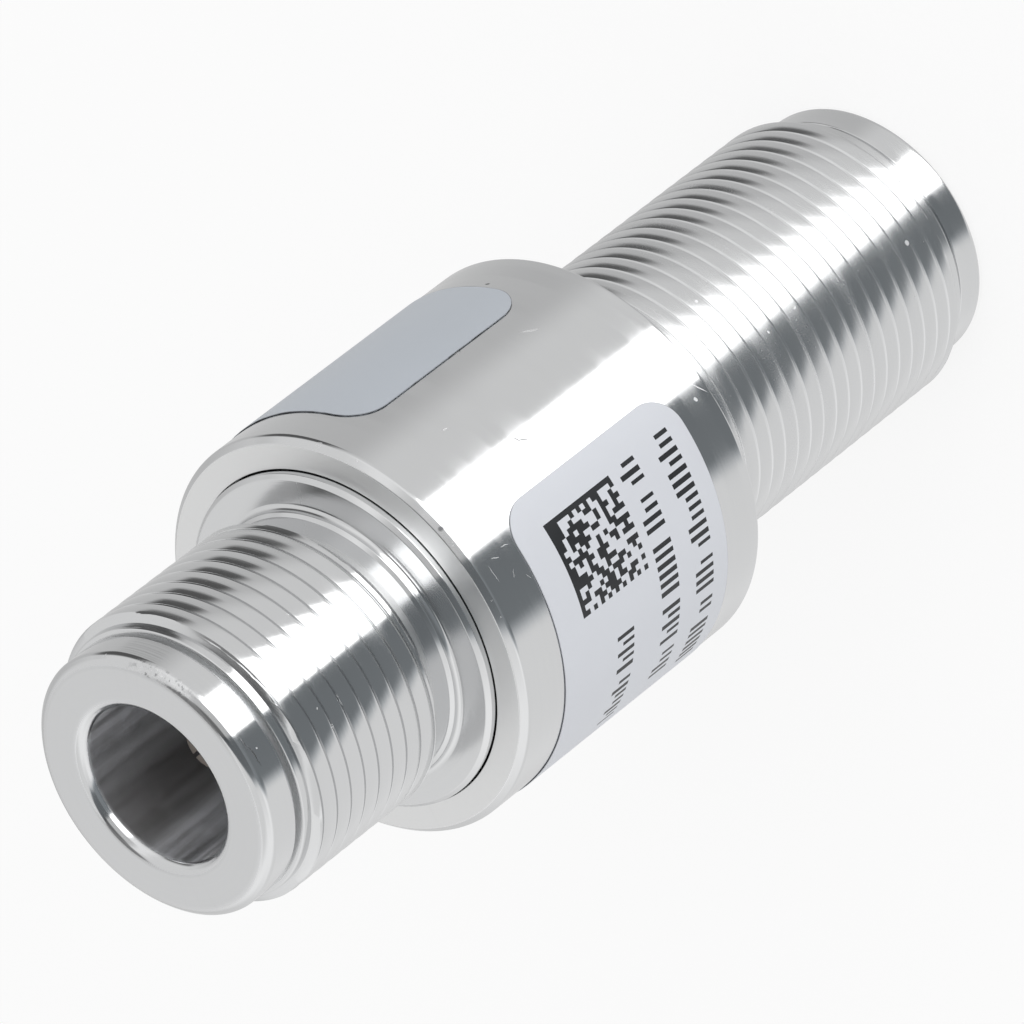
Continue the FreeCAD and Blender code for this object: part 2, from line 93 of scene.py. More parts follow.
# A turn of each thread from crest to crest: (depth, place along the pitch).
NEAR_TURN = [(0.0, 0.0), (0.003, 0.1), (0.009, 0.2), (0.017, 0.3), (0.027, 0.39), (0.036, 0.432),
             (0.08, 0.45), (0.13, 0.467), (0.16, 0.485), (0.16, 0.515), (0.13, 0.533), (0.07, 0.55),
             (0.024, 0.568), (0.014, 0.6), (0.007, 0.7), (0.003, 0.8), (0.001, 0.9), (0.0, 1.0)]
FAR_TURN = [(0.0, 0.0), (0.005, 0.1), (0.018, 0.22), (0.036, 0.33), (0.054, 0.4), (0.08, 0.43),
            (0.12, 0.455), (0.14, 0.482), (0.14, 0.518), (0.1, 0.535), (0.06, 0.553), (0.03, 0.568),
            (0.021, 0.6), (0.012, 0.7), (0.006, 0.8), (0.002, 0.9), (0.0, 1.0)]


# Node trees.

class Value:
    """A socket in a node tree. Sums and products of such values add its Math nodes."""

    def __init__(self, graph, socket):
        self.graph, self.socket = graph, socket

    def math(self, operation, *others):
        return self.graph.add("ShaderNodeMath", {"operation": operation}, [self, *others])

    def __add__(self, other):
        return self.math("ADD", other)

    def __radd__(self, other):
        return self.math("ADD", other)

    def __sub__(self, other):
        return self.math("SUBTRACT", other)

    def __rsub__(self, other):
        return self.graph.number("SUBTRACT", other, self)

    def __mul__(self, other):
        return self.math("MULTIPLY", other)

    def __rmul__(self, other):
        return self.math("MULTIPLY", other)

    def __truediv__(self, other):
        return self.math("DIVIDE", other)

    def __gt__(self, other):
        return self.math("GREATER_THAN", other)

    def __lt__(self, other):
        return self.math("LESS_THAN", other)

    def __abs__(self):
        return self.math("ABSOLUTE")


class Graph:
    """A node tree that grows by one node for each call."""

    def __init__(self, tree):
        self.tree = tree

    def add(self, kind, settings=None, sockets=(), out=0):
        """A node of that type, its settings made first, with values or links in its sockets."""
        node = self.tree.nodes.new(kind)
        for name, value in (settings or {}).items():
            setattr(node, name, value)
        pairs = sockets.items() if isinstance(sockets, dict) else enumerate(sockets)
        for key, value in pairs:
            links = value if isinstance(value, tuple) else (value,)
            if isinstance(links[0], Value):
                for link in links:
                    self.tree.links.new(link.socket, node.inputs[key])
            else:
                node.inputs[key].default_value = value
        return Value(self, node.outputs[out]) if len(node.outputs) else node

    def number(self, operation, *values):
        return self.add("ShaderNodeMath", {"operation": operation}, values)

    def step(self, value, low, high, start=0.0, end=1.0):
        """Goes smoothly from start to end while the value goes from low to high."""
        return self.add("ShaderNodeMapRange", {"interpolation_type": "SMOOTHSTEP"},
                        [value, low, high, start, end])

    def band(self, value, low, high, soft):
        """One inside a range of the value and nothing outside, with soft ends."""
        return (self.step(value, low - soft, low + soft)
                * self.step(value, high - soft, high + soft, 1.0, 0.0))

    def parts(self, vector):
        node = self.add("ShaderNodeSeparateXYZ", None, [vector])
        return [Value(self, output) for output in node.socket.node.outputs]

    def vector(self, x, y, z):
        return self.add("ShaderNodeCombineXYZ", None, [x, y, z])

    def mix(self, factor, first, second):
        """Two colours mixed."""
        return self.add("ShaderNodeMix", {"data_type": "RGBA"},
                        {0: factor, 6: first, 7: second}, out=2)

    def noise(self, vector, scale, detail=2.0, rough=0.5):
        return self.add("ShaderNodeTexNoise", None, {"Vector": vector, "Scale": scale,
                                                     "Detail": detail, "Roughness": rough})


# Shapes.

def shape_tree(name, inputs):
    """An empty Geometry Nodes tree with named inputs, and the values of those inputs."""
    tree = bpy.data.node_groups.new(name, "GeometryNodeTree")
    for label, kind in inputs:
        tree.interface.new_socket(label, in_out="INPUT", socket_type="NodeSocket" + kind)
    tree.interface.new_socket("Geometry", in_out="OUTPUT", socket_type="NodeSocketGeometry")
    graph = Graph(tree)
    given = tree.nodes.new("NodeGroupInput")
    return graph, {label: Value(graph, given.outputs[label]) for label, _ in inputs}


def end_tree(graph, shape, finish):
    """Closes a tree with its doubles merged, its instances real and its finish set."""
    merged = graph.add("GeometryNodeMergeByDistance", None, {"Geometry": shape, "Distance": WELD})
    real = graph.add("GeometryNodeRealizeInstances", None, [merged])
    smooth = graph.add("GeometryNodeSetShadeSmooth", None, {"Geometry": real})
    painted = graph.add("GeometryNodeSetMaterial", None, {"Geometry": smooth, "Material": finish})
    graph.add("NodeGroupOutput", None, [painted])
    return graph.tree


def columns_and_rows(graph, around, rows):
    """A grid, with each point's column round the axis and its row along the outline."""
    grid = graph.add("GeometryNodeMeshGrid", None, {"Vertices X": around + 1, "Vertices Y": rows})
    index = graph.add("GeometryNodeInputIndex")
    column = ((index + 0.5) / rows).math("FLOOR")
    return grid, column, index - column * rows


def bend_round(graph, grid, turn, radius, height):
    """The grid with each point moved to its turn, radius and height."""
    place = graph.vector(turn.math("COSINE") * radius, turn.math("SINE") * radius, height)
    return graph.add("GeometryNodeSetPosition", None, {"Geometry": grid, "Position": place})


def turned_tree():
    """An outline of (radius, height) points, turned round the axis."""
    graph, given = shape_tree("turned_outline", [("Outline", "Geometry"), ("Around", "Int"),
                                                 ("Finish", "Material")])
    points = graph.add("GeometryNodeAttributeDomainSize", None, [given["Outline"]])
    grid, column, row = columns_and_rows(graph, given["Around"], points)
    corner = graph.add("GeometryNodeSampleIndex", {"data_type": "FLOAT_VECTOR"},
                       {"Geometry": given["Outline"], "Index": row,
                        "Value": graph.add("GeometryNodeInputPosition")})
    radius, _, height = graph.parts(corner)
    turn = column / given["Around"] * math.tau
    return end_tree(graph, bend_round(graph, grid, turn, radius, height), given["Finish"])


def thread_tree():
    """A right-hand thread whose rows follow its helix, faded and coned off at its ends."""
    graph, given = shape_tree("screw_thread", [
        ("Turn", "Geometry"), ("Around", "Int"), ("Turns", "Int"), ("Pitch", "Float"),
        ("Crest radius", "Float"), ("Phase", "Float"), ("Low end", "Float"),
        ("Low radius", "Float"), ("High end", "Float"), ("High radius", "Float"),
        ("High slope", "Float"), ("Plain above", "Float"), ("Finish", "Material")])
    steps = graph.add("GeometryNodeAttributeDomainSize", None, [given["Turn"]])
    rows = steps * given["Turns"] + 1
    grid, column, row = columns_and_rows(graph, given["Around"], rows)
    lap = ((row + 0.5) / steps).math("FLOOR")
    corner = graph.add("GeometryNodeSampleIndex", {"data_type": "FLOAT_VECTOR"},
                       {"Geometry": given["Turn"], "Index": row - lap * steps,
                        "Value": graph.add("GeometryNodeInputPosition")})
    depth, _, along = graph.parts(corner)
    share = column / given["Around"]
    climb = (lap + share + given["Phase"] - 2.0) * given["Pitch"] + along + given["Low end"]
    height = climb.math("MAXIMUM", given["Low end"]).math("MINIMUM", given["High end"])
    left = given["High end"] - given["Plain above"] - height
    fade = graph.step(left / given["Pitch"], 0.0, 0.5)
    crest = given["Crest radius"] - depth * fade
    radius = crest.math("MINIMUM", given["Low radius"] + (height - given["Low end"]))
    top = given["High radius"] + (given["High end"] - height) * given["High slope"]
    radius = radius.math("MINIMUM", top)
    return end_tree(graph, bend_round(graph, grid, share * math.tau, radius, height),
                    given["Finish"])


def film_tree():
    """A film with rounded corners, bent round the body and as thick as it says."""
    graph, given = shape_tree("wrapped_film", [
        ("Columns", "Int"), ("Rows", "Int"), ("Length", "Float"), ("Height", "Float"),
        ("Corner", "Float"), ("Radius", "Float"), ("Thickness", "Float"), ("Base", "Float"),
        ("Middle", "Float"), ("Finish", "Material")])
    grid, column, row = columns_and_rows(graph, given["Columns"], given["Rows"] + 1)
    rise = graph.step(row / given["Rows"], 0.0, 1.0) * given["Height"]
    to_edge = rise.math("MINIMUM", given["Height"] - rise)
    missing = (given["Corner"] - to_edge).math("MAXIMUM", 0.0)
    inset = given["Corner"] - (given["Corner"] * given["Corner"]
                               - missing * missing).math("SQRT")
    half = given["Length"] / 2.0 - inset
    arc = (column / given["Columns"] * 2.0 - 1.0) * half
    turn = arc / given["Radius"] + given["Middle"]
    under = bend_round(graph, grid, turn, given["Radius"], given["Base"] + rise)
    over = graph.add("GeometryNodeExtrudeMesh", {"mode": "FACES"}, {
        "Mesh": under, "Offset Scale": given["Thickness"], "Individual": False})
    closed = graph.add("GeometryNodeJoinGeometry", None,
                       [(over, graph.add("GeometryNodeFlipFaces", None, [under]))])
    return end_tree(graph, closed, given["Finish"])


def polyline(name, points):
    """A mesh of joined (radius, height) points, in millimetres, for a tree to turn."""
    mesh = bpy.data.meshes.new(name)
    mesh.from_pydata([(radius * MM, 0.0, height * MM) for radius, height in points],
                     [(index, index + 1) for index in range(len(points) - 1)], [])
    return mesh


def grow(name, tree, values, source=None):
    """The plain mesh that a tree makes from its named inputs."""
    holder = bpy.data.objects.new(name + "_source", source or bpy.data.meshes.new(name))
    bpy.context.scene.collection.objects.link(holder)
    modifier = holder.modifiers.new("shape", "NODES")
    modifier.node_group = tree
    for item in tree.interface.items_tree:
        if item.in_out == "INPUT" and item.name in values:
            modifier[item.identifier] = values[item.name]
    bpy.context.view_layer.update()
    seen = holder.evaluated_get(bpy.context.evaluated_depsgraph_get())
    mesh = bpy.data.meshes.new_from_object(seen)
    bpy.data.objects.remove(holder)
    return mesh


def piece(name, meshes, finish):
    """One object from grown meshes: joined where they meet, outward, creases kept sharp."""
    whole = bmesh.new()
    for mesh in meshes:
        whole.from_mesh(mesh)
    bmesh.ops.remove_doubles(whole, verts=whole.verts, dist=WELD)
    bmesh.ops.dissolve_degenerate(whole, edges=whole.edges, dist=1e-7)
    bmesh.ops.recalc_face_normals(whole, faces=whole.faces)
    if whole.calc_volume(signed=True) < 0:
        bmesh.ops.reverse_faces(whole, faces=whole.faces)
    mesh = bpy.data.meshes.new(name)
    whole.to_mesh(mesh)
    open_edges = sum(1 for edge in whole.edges if not edge.is_manifold)
    print(name, len(mesh.polygons), "faces,", open_edges, "open edges")
    whole.free()
    mesh.materials.append(finish)
    mesh.polygons.foreach_set("material_index", [0] * len(mesh.polygons))
    mesh.shade_smooth()
    mesh.set_sharp_from_angle(angle=CREASE)
    item = bpy.data.objects.new(name, mesh)
    bpy.context.scene.collection.objects.link(item)
    return item


def soften(points, rounds):
    """The outline with some corners rounded, by radii keyed on a corner's index.

    A holding point on each side keeps the shading of the flats flat.
    """
    result = []
    for index, point in enumerate(points):
        radius = rounds.get(index, 0.0)
        if not radius:
            result.append(point)
            continue
        here = Vector(point)
        back = (Vector(points[index - 1]) - here).normalized()
        ahead = (Vector(points[index + 1]) - here).normalized()
        half = back.angle(ahead) / 2.0
        reach = radius / math.tan(half)
        centre = here + (back + ahead).normalized() * (radius / math.sin(half))
        first, last = here + back * reach - centre, here + ahead * reach - centre
        swing = first.angle_signed(last)
        result.append(tuple(here + back * (reach + HOLD)))
        for step in range(ROUND_STEPS + 1):
            spoke = first.copy()
            spoke.rotate(Matrix.Rotation(-swing * step / ROUND_STEPS, 2))
            result.append(tuple(centre + spoke))
        result.append(tuple(here + ahead * (reach + HOLD)))
    return result


def port_outline(at, groove):
    """A port from its thread's foot round its mouth to the seat of its bead."""
    return soften([
        (RIDGE_RADIUS, at(THREAD_START)), (RIDGE_RADIUS - 0.03, at(RIDGE_START + 0.1)),
        (groove, at(RIDGE_START)), (groove, at(COLLAR_LENGTH + 0.05)),
        (COLLAR_RADIUS, at(COLLAR_LENGTH - 0.02)), (COLLAR_RADIUS, at(END_CHAMFER)),
        (COLLAR_RADIUS - END_CHAMFER, at(0)), (ENTRY_RADIUS + COUNTERSINK, at(0)),
        (ENTRY_RADIUS, at(COUNTERSINK)), (ENTRY_RADIUS, at(ENTRY_DEPTH)),
        (SOCKET_RADIUS, at(SOCKET_DEPTH)), (LINE_RADIUS, at(SOCKET_DEPTH)),
        (LINE_RADIUS, at(BEAD_SEAT)), (SEAT_RADIUS, at(BEAD_SEAT)),
    ], {1: 0.1, 4: 0.04, 5: 0.35, 6: 0.65, 7: 0.5, 8: 0.5})


# Finishes.

# Small marks of use on the metal: (side, depth, length, width, slant). A side is in degrees
# round from the line that faces -Y, from -270 to 90, a depth is in millimetres from the near end
# face, and a slant is in degrees from the way round.
BRIGHT_MARKS = [
    (-48, 15.04, 0.34, 0.2, 0), (-35, 28.25, 1.1, 0.14, 62), (-43.5, 24.7, 0.45, 0.2, 80),
    (-27, 19.7, 0.4, 0.08, 80), (7, 16.4, 0.5, 0.035, 70), (6, 17.3, 0.6, 0.03, 78),
    (10, 15.8, 0.9, 0.04, 5), (13, 16.9, 0.45, 0.03, -30), (16, 17.6, 0.4, 0.03, 35),
    (6.7, 32.3, 0.2, 0.2, 0), (5, 32.9, 0.9, 0.06, 40), (-63, 0.32, 0.2, 0.16, 0),
    (-19, 7.1, 0.22, 0.1, 0), (13, 4.85, 0.2, 0.14, 0), (22, 5.2, 0.35, 0.18, 20),
    (16, 6.2, 0.9, 0.07, 0), (-18.3, 39.07, 0.22, 0.18, 0), (5.2, 43.5, 0.2, 0.2, 0),
    (11.7, 52.07, 0.36, 0.3, 0), (6.4, 41.2, 0.16, 0.12, 0), (12, 1.1, 0.14, 0.14, 0)]
DARK_MARKS = [
    (-59, 30.7, 0.3, 0.16, 30), (-13, 22.1, 0.5, 0.08, 30), (-12, 22.4, 0.4, 0.08, 65),
    (-7, 15.0, 0.26, 0.2, 0), (14, 0.8, 1.6, 0.09, 4), (8, 0.6, 1.0, 0.07, -3)]
SIDE_STEP = 0.165                # millimetres for a degree, about what the port and body have

# A pale grey painted on the body's end faces as painted light.
FACE_PAINTED_LIGHT = [0.92, 0.92, 0.91, 1.0]
BORE_GREY = [0.9, 0.91, 0.94, 1.0]
BORE_SHADE = [0.16, 0.15, 0.15, 1.0]
MARK_PALE = [0.93, 0.93, 0.94, 1.0]
MARK_DARK = [0.05, 0.05, 0.055, 1.0]
PRINT_INK = [0.012, 0.013, 0.015, 1.0]
# A dark grey painted along the labels' rims as painted shade.
EDGE_PAINTED_SHADE = [0.03, 0.03, 0.032, 1.0]

# The print on the data label, in millimetres from its middle.
CODE_SQUARE = (-8.23, -0.64, 5.12, 18)              # left, low, side, cells in a row
PRINT_LINES = ((-8.5, 5.6, -5.3, -3.9, 3.0),        # left, right, low, high, seed
               (-8.4, 5.2, -2.6, -1.2, 11.0), (-1.9, 5.4, 1.05, 2.35, 5.0))
TICK_STEP = 0.5


def material(name):
    """A new material, its graph and its own Principled node, ready for its constants."""
    finish = bpy.data.materials.new(name)
    finish.use_nodes = True
    return finish, Graph(finish.node_tree), finish.node_tree.nodes["Principled BSDF"].inputs


def feed(graph, socket, value):
    """Links a value to a socket of the tree's own nodes."""
    graph.tree.links.new(value.socket, socket)


def round_axis(graph):
    """Object coordinates as millimetres: radius, turn in degrees from +X, and height."""
    place = graph.add("ShaderNodeTexCoord", out=3)
    x, y, z = graph.parts(place)
    radius = (x * x + y * y).math("SQRT")
    turn = y.math("ARCTAN2", x) * math.degrees(1.0)
    return place, radius / MM, turn, z / MM


def scars(graph, place, marks):
    """One on each small mark: (side, depth, length, width, slant from the way round)."""
    nearest = None
    for side, depth, length, width, slant in marks:
        shifted = graph.add("ShaderNodeMapping", {"vector_type": "TEXTURE"}, {
            "Vector": place, "Location": (side * SIDE_STEP, depth, 0.0),
            "Rotation": (0.0, 0.0, math.radians(slant)), "Scale": (length / 2, width / 2, 1.0)})
        away = graph.add("ShaderNodeVectorMath", {"operation": "LENGTH"}, [shifted], out=1)
        nearest = away if nearest is None else nearest.math("MINIMUM", away)
    return graph.step(nearest, 0.6, 1.15, 1.0, 0.0)


def plated_metal(name, colour):
    """Turned metal under a bright plating, with tool marks, dull faces and what use has left."""
    finish, graph, sockets = material(name)
    place, radius, turn, height = round_axis(graph)
    x, y, _ = graph.parts(place)
    facing = abs(graph.parts(graph.add("ShaderNodeTexCoord", out=1))[2])
    shake = graph.noise(place, 2600.0, 1.0) - 0.5
    side = turn * -1.0 - 90.0
    depth = LENGTH - height
    unrolled = graph.vector((side + shake) * SIDE_STEP, depth + shake * 0.2, 0.0)

    # Tool marks round the axis, a soft cloud, bands from turn to turn, and a rubbed grain.
    lathe = graph.vector(x * 60.0, y * 60.0, (radius + height) * 9.0)
    lines = graph.noise(lathe, 1.0, 2.0, 0.6)
    cloud = graph.noise(place, 160.0, 2.0)
    each_turn = graph.noise(graph.vector(0.3, 0.7, height * 0.55), 1.0, 1.0)
    slanted = graph.vector(side * 0.8 + depth * 2.0, depth * 5.0 - side * 0.4, 0.0)
    fine = graph.noise(slanted, 1.0, 3.0, 0.7)
    rubbed = graph.step(fine, 0.6, 0.74)

    # The bores: streaked along their length, grey, and with painted shade on their back wall,
    # stronger deeper in.
    bore = graph.step(radius, 4.27, 4.31, 1.0, 0.0) * graph.step(facing, 0.3, 0.5, 1.0, 0.0)
    streaks = graph.step(graph.noise(graph.vector(
        x / radius * 4.5 / MM, y / radius * 4.5 / MM, height * 0.06), 1.0, 3.0, 0.6), 0.3, 0.7)
    opposite = graph.band(side, -203.0, -157.0, 20.0) * bore
    bore_painted_shade = opposite * (graph.step(depth, 0.5, 4.0) * 0.15 + 0.85)
    lit = streaks * 0.8 + graph.step(depth, 1.0, 5.0) * 0.2

    # The far port's outside, a little duller, and the faces that were cut square, dull, with the
    # body's end faces painted paler as painted light.
    distant = (graph.step(height, SHOULDER, SHOULDER + 0.1, 1.0, 0.0)
               * graph.step(radius, 7.25, 7.35))
    faced = graph.step(facing, 0.9, 0.99) * (1.0 - graph.band(radius, 7.2, 9.22, 0.02) * 0.7)
    body_face_light = faced * graph.step(radius, 9.24, 9.3)

    # Marks of use: scratches and dots, a burr on the near collar's edge, chips on the body's.
    bright = scars(graph, unrolled, BRIGHT_MARKS)
    dark = scars(graph, unrolled, DARK_MARKS)
    ragged = graph.noise(place, 3000.0, 3.0, 0.7)
    burr = (graph.band(side, -47.0, -20.0, 6.0) * graph.step(radius, 6.62, 6.78)
            * graph.step(depth, 0.35, 0.6, 1.0, 0.0))
    chips = (graph.band(side, -50.0, 26.0, 6.0) * graph.step(radius, 10.7, 10.85)
             * graph.band(depth, 14.7, 15.1, 0.06))
    nicks = (burr * graph.step(ragged, 0.5, 0.66)).math(
        "MAXIMUM", chips * graph.step(ragged, 0.64, 0.72))
    dents = dark.math("MAXIMUM", burr * graph.step(ragged, 0.34, 0.46, 0.7, 0.0))

    tone = graph.mix(lines * 0.1 + cloud * 0.1 + 0.4, [c * 0.8 for c in colour] + [1.0],
                     [c * 1.15 for c in colour] + [1.0])
    # Painted light: the body's end faces mixed towards a paler grey.
    tone = graph.mix(body_face_light * 0.35, tone, FACE_PAINTED_LIGHT)
    tone = graph.mix(bore * lit, tone, BORE_GREY)
    # Painted shade on the bores' back wall, stronger deeper in.
    tone = graph.mix(bore_painted_shade * 0.85, tone, BORE_SHADE)
    tone = graph.mix(bright * 0.3 + nicks * 0.3, tone, MARK_PALE)
    tone = graph.mix(dents * 0.75, tone, MARK_DARK)
    feed(graph, sockets["Base Color"], tone)
    sockets["Metallic"].default_value = 1.0
    rough = lines * 0.05 + cloud * 0.05 + graph.step(each_turn, 0.5, 0.62) * 0.06 + 0.06
    rough = rough + rubbed * 0.08 + faced * 0.3 + bore * (streaks * 0.2 + 0.3) + distant * 0.09
    rough = rough + bright * 0.35 + nicks * 0.3 + dents * 0.25
    feed(graph, sockets["Roughness"], rough.math("MINIMUM", 0.8))
    feed(graph, sockets["Normal"], graph.add("ShaderNodeBump", None, {
        "Strength": 0.35, "Distance": 0.00001, "Height": lines * 0.5}))
    return finish


def plain_finish(name, colour, rough, metallic=0.0, grain=400.0):
    """A moulded, plated or fired surface with a fine grain in its tone and height."""
    finish, graph, sockets = material(name)
    place = graph.add("ShaderNodeTexCoord", out=3)
    cloud = graph.noise(place, grain, 4.0)
    fine = graph.noise(place, grain * 9.0, 2.0)
    feed(graph, sockets["Base Color"],
         graph.mix(cloud, [c * 0.9 for c in colour] + [1.0], [*colour, 1.0]))
    sockets["Metallic"].default_value = metallic
    feed(graph, sockets["Roughness"], cloud * 0.12 + rough)
    feed(graph, sockets["Normal"], graph.add("ShaderNodeBump", None, {
        "Strength": 0.1, "Distance": 0.00002, "Height": fine}))
    return finish


def film_place(graph, base, middle):
    """Places on a wrapped film from its middle, in millimetres: along it and up it."""
    x, y, z = graph.parts(graph.add("ShaderNodeTexCoord", out=3))
    cosine, sine = math.cos(math.radians(middle)), math.sin(math.radians(middle))
    outward, sideways = x * cosine + y * sine, y * cosine - x * sine
    return (sideways.math("ARCTAN2", outward) * -FILM_RADIUS,
            z / MM - (base + FILM_HEIGHT / 2.0))


def inside(graph, value, low, high):
    """One where the value lies between the two."""
    return (value > low) * (value < high)


def dice(graph, x, y):
    """A number from 0 to 1 for each pair of whole numbers."""
    return graph.add("ShaderNodeTexWhiteNoise", {"noise_dimensions": "2D"},
                     {"Vector": graph.vector(x, y, 0.0)})


def block_code(graph, x, y, left, low, side, cells):
    """A made-up block pattern in a square, with two solid edges and two dashed ones."""
    column, row = ((place * (cells / side)).math("FLOOR") for place in (x - left, y - low))
    dark = dice(graph, column + 31.0, row + 7.0) > 0.47
    solid = (column < 0.5).math("MAXIMUM", row > cells - 1.5)
    dashed = (column > cells - 1.5).math("MAXIMUM", row < 0.5)
    odd = (column + row).math("MODULO", 2.0) > 0.5
    dark = dark * (1.0 - dashed) + dashed * odd
    return dark.math("MAXIMUM", solid) * inside(graph, x, left, left + side) * inside(
        graph, y, low, low + side)


def tick_line(graph, x, y, left, right, low, high, seed):
    """A line of plain ticks, tall and short, where a label has its writing."""
    cell = ((x - left) / TICK_STEP).math("FLOOR")
    along = (x - left) / TICK_STEP - cell
    throw = dice(graph, cell, seed)
    top = low + (high - low) * 0.68 + (throw > 0.5) * (high - low) * 0.32
    return (inside(graph, x, left, right) * (along > 0.24) * (along < throw * 0.22 + 0.6)
            * (throw > 0.14) * (y > low) * (y < top))


def film_finish(name, colour, rough, rim_shade_amount, base, middle, printed=False):
    """Satin film with a soft cloud in its tone, a painted shade along its rim and, on one, its
    print.
    """
    finish, graph, sockets = material(name)
    along, up = film_place(graph, base, middle)
    place = graph.add("ShaderNodeTexCoord", out=3)
    cloud = graph.noise(place, 240.0, 3.0)
    fine = graph.noise(place, 9000.0, 2.0)
    tone = graph.mix(cloud, [c * 0.95 for c in colour] + [1.0], [*colour, 1.0])
    if printed:
        ink = block_code(graph, along, up, *CODE_SQUARE)
        for line in PRINT_LINES:
            ink = ink.math("MAXIMUM", tick_line(graph, along, up, *line))
        tone = graph.mix(ink * (cloud * 0.03 + 0.97), tone, PRINT_INK)
    corner_x = abs(along) - (FILM_LENGTH / 2.0 - FILM_CORNER)
    corner_y = abs(up) - (FILM_HEIGHT / 2.0 - FILM_CORNER)
    out_x, out_y = corner_x.math("MAXIMUM", 0.0), corner_y.math("MAXIMUM", 0.0)
    edge = ((out_x * out_x + out_y * out_y).math("SQRT")
            + corner_x.math("MAXIMUM", corner_y).math("MINIMUM", 0.0) - FILM_CORNER)
    # A dashed dark line just inside the film's edge, painted shade where it meets the body.
    breaks = graph.step(graph.noise(place, 700.0, 2.0), 0.42, 0.58)
    painted_rim_shade = graph.step(edge, -0.035, -0.01) * (breaks * 0.4 + 0.6) * rim_shade_amount
    feed(graph, sockets["Base Color"], graph.mix(painted_rim_shade, tone, EDGE_PAINTED_SHADE))
    feed(graph, sockets["Roughness"], cloud * 0.1 + rough)
    sockets["Specular IOR Level"].default_value = 0.3
    bump = graph.add("ShaderNodeBump", None, {"Strength": 0.12, "Distance": 0.00001,
                                              "Height": fine + cloud})
    feed(graph, sockets["Normal"], bump)
    return finish


# The object.

def near(depth):
    """The height of a place that deep from the near port's end face."""
    return LENGTH - depth


def far(depth):
    """The height of a place that deep from the far port's end face."""
    return depth


bright_plate = plated_metal("bright_plate", (0.66, 0.665, 0.67))
contact_gold = plain_finish("contact_gold", (0.3, 0.265, 0.235), 0.45, 1.0, 900.0)
bead_resin = plain_finish("bead_resin", (0.8, 0.79, 0.76), 0.42)
seal_rubber = plain_finish("seal_rubber", (0.02, 0.02, 0.021), 0.6)
electrode_plate = plain_finish("electrode_plate", (0.62, 0.6, 0.56), 0.3, 1.0)
fired_ceramic = plain_finish("fired_ceramic", (0.78, 0.74, 0.7), 0.5)
spring_steel = plain_finish("spring_steel", (0.42, 0.41, 0.4), 0.3, 1.0)
white_film = film_finish("white_film", (0.705, 0.725, 0.77), 0.35, 0.3, DATA_BASE, DATA_MIDDLE,
                         printed=True)
# The upper label is painted grey as painted shade on a white film.
grey_film = film_finish("grey_film", (0.486, 0.52, 0.565), 0.3, 0.8, UPPER_BASE, UPPER_MIDDLE)

turned, threaded, wrapped = turned_tree(), thread_tree(), film_tree()


def cut_thread(name, turn, turns, **values):
    """A port's thread, from the points of one turn."""
    return grow(name, threaded, {
        "Around": AROUND, "Turns": turns, "Pitch": PITCH * MM, "Crest radius": THREAD_RADIUS * MM,
        "Finish": bright_plate, **values},
        polyline(name + "_turn", [(depth, place * PITCH) for depth, place in turn]))


def turn_outline(name, points):
    """A plated piece's outline, turned round the axis."""
    return grow(name, turned, {"Around": AROUND, "Finish": bright_plate}, polyline(name, points))


far_outline = port_outline(far, 7.1)
spigot_floor, chamber_floor = near(19.6), near(29.4)
body_outline = soften([
    (THREAD_RADIUS, SHOULDER), (BODY_RADIUS - BODY_EDGE, SHOULDER),
    (BODY_RADIUS, SHOULDER + BODY_EDGE), (BODY_RADIUS, BODY_FACE - BODY_EDGE),
    (BODY_RADIUS - BODY_EDGE, BODY_FACE), (RING_HOLE, BODY_FACE), (RING_HOLE, near(FLANGE_END)),
    (SPIGOT_RADIUS, near(FLANGE_END)), (SPIGOT_RADIUS, spigot_floor),
    (CHAMBER_RADIUS, spigot_floor), (CHAMBER_RADIUS, chamber_floor),
    (SEAT_RADIUS, chamber_floor), (SEAT_RADIUS, far(BEAD_SEAT)),
], {1: 0.1, 2: 0.25, 3: 0.25, 4: 0.1, 5: 0.03})
far_thread = cut_thread("far_thread", FAR_TURN, 23, **{
    "Phase": 0.96, "Low end": THREAD_START * MM, "Low radius": RIDGE_RADIUS * MM,
    "High end": SHOULDER * MM, "High radius": THREAD_RADIUS * MM, "High slope": 0.0,
    "Plain above": 0.4 * MM})
body = piece("arrestor_body", [
    far_thread, turn_outline("body_outside", body_outline),
    turn_outline("far_mouth", far_outline)], bright_plate)

spigot = SPIGOT_RADIUS - FIT_PLAY
groove_start, groove_end = near(17.5), near(18.5)
near_outline = port_outline(near, 6.95) + soften([
    (SEAT_RADIUS, near(SPIGOT_END)), (spigot, near(SPIGOT_END)), (spigot, groove_end),
    (SEAL_GROOVE, groove_end), (SEAL_GROOVE, groove_start), (spigot, groove_start),
    (spigot, near(FLANGE_END)), (FLANGE_RADIUS, near(FLANGE_END)),
    (FLANGE_RADIUS, near(FLANGE_DEPTH + FLANGE_RIM)), (FLANGE_FACE_RADIUS, near(FLANGE_DEPTH)),
    (LAND_RADIUS, near(FLANGE_DEPTH)), (LAND_RADIUS, near(LAND_START)),
    (RELIEF_RADIUS, near(RELIEF_END)), (RELIEF_RADIUS, near(RELIEF_START)),
], {8: 0.06, 9: 0.06, 10: 0.3, 11: 0.05})
near_thread = cut_thread("near_thread", NEAR_TURN, 12, **{
    "Phase": 0.68, "Low end": near(RELIEF_START) * MM, "Low radius": RELIEF_RADIUS * MM,
    "High end": near(THREAD_START) * MM, "High radius": RIDGE_RADIUS * MM, "High slope": 3.0,
    "Plain above": -3.0 * MM})
port = piece("threaded_port", [near_thread, turn_outline("near_mouth", near_outline)],
             bright_plate)


